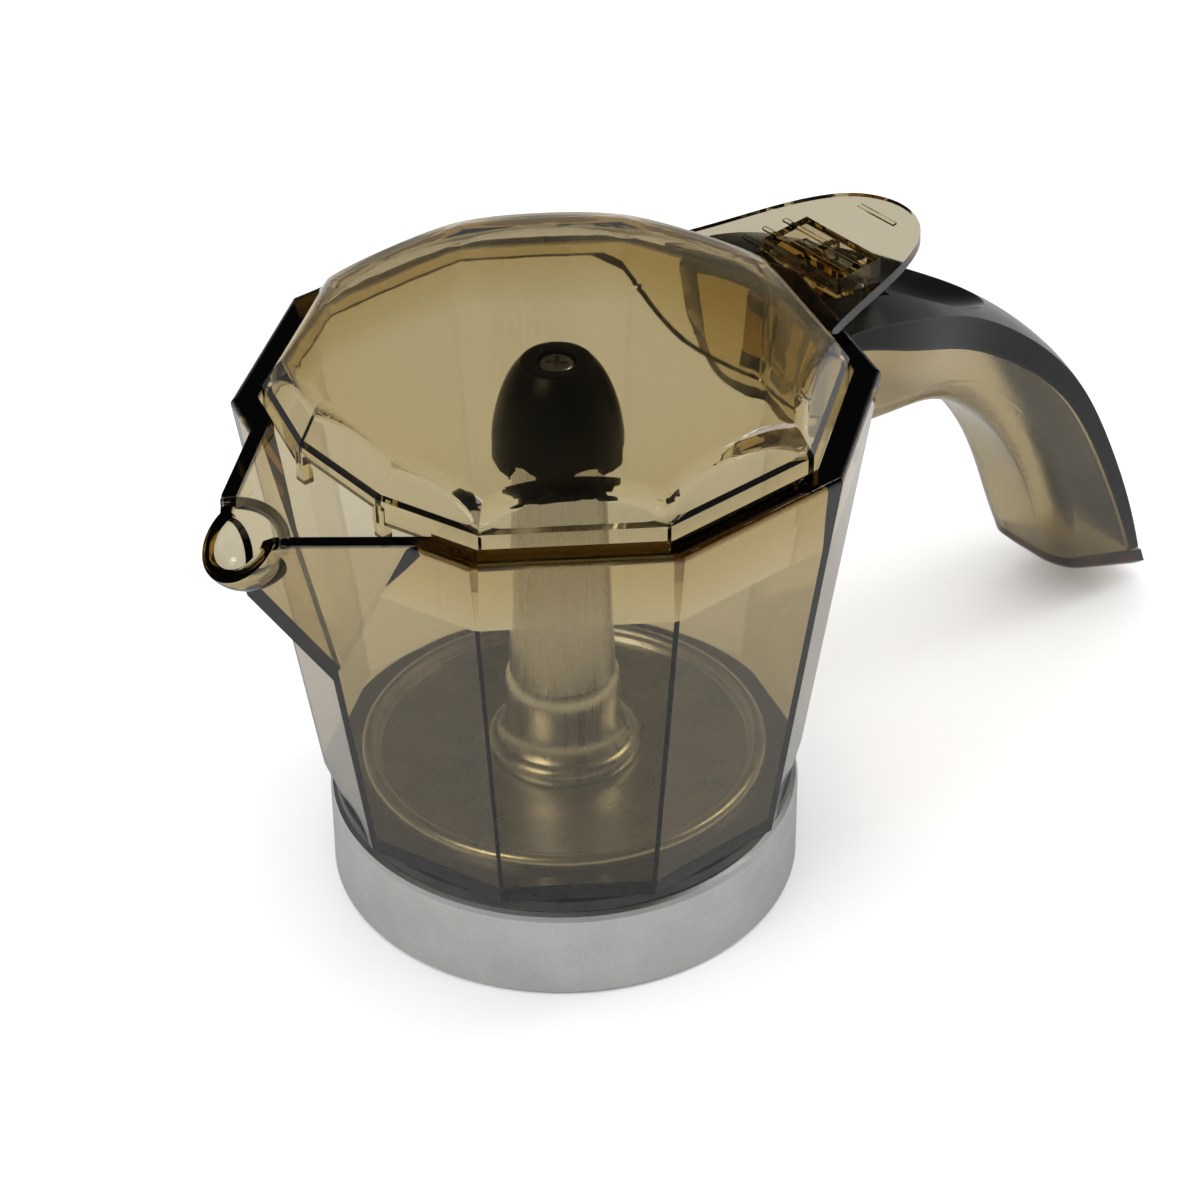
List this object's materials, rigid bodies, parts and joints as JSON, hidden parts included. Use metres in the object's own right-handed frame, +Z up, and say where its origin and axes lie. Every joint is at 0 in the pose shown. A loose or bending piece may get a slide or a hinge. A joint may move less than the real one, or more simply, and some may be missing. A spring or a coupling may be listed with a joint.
{
  "type": "coffee maker jug",
  "caption": "Faceted smoked upper jug of a moka coffee maker with spout, riser column, hinged thumb-lever lid, curved handle and a threaded metal base ring.",
  "frame": {"origin": "on the jug's axis at the mouth of the base ring's thread, level with the ring's foot", "axes": "+Z up along the riser column, +X from the axis towards the handle, -X towards the spout"},
  "size_m": [0.2163, 0.106, 0.1136],
  "materials": {
    "smoked_plastic": "clear amber-brown smoked polycarbonate, polished",
    "smoked_satin_plastic": "smoked polycarbonate with a satin handle surface",
    "black_plastic": "black satin moulded plastic",
    "cap_plastic": "black matt heat-resistant plastic",
    "ring_aluminium": "satin turned die casting",
    "plate_aluminium": "turned aluminium",
    "column_aluminium": "drawn aluminium with fine lengthwise streaks",
    "black_rubber": "smooth black food-grade rubber",
    "silicone": "off-white silicone",
    "fibre_washer": "red fibre sealing washer",
    "steel": "stainless steel"
  },
  "bodies": {
    "jug": {"jug_body": "smoked_plastic", "handle_shell": "smoked_satin_plastic", "handle_cover": "black_plastic", "hinge_pin": "steel", "base_ring": "ring_aluminium", "base_seal": "black_rubber", "collector_plate": "plate_aluminium", "floor_oring": "black_rubber", "clamp_screws": "steel", "screw_washers": "fibre_washer", "filter_gasket": "silicone", "strainer_plate": "plate_aluminium", "riser_column": "column_aluminium", "cap_spider": "column_aluminium", "column_cap": "cap_plastic", "cap_screw": "steel"},
    "lid": {"lid": "smoked_plastic"}
  },
  "joints": [
    {"name": "lid_hinge", "type": "hinge", "parent": "jug", "child": "lid", "pos_m": [0.0615, 0, 0.0986], "axis": [0, 1, 0], "range_deg": [0, 38]}
  ]
}
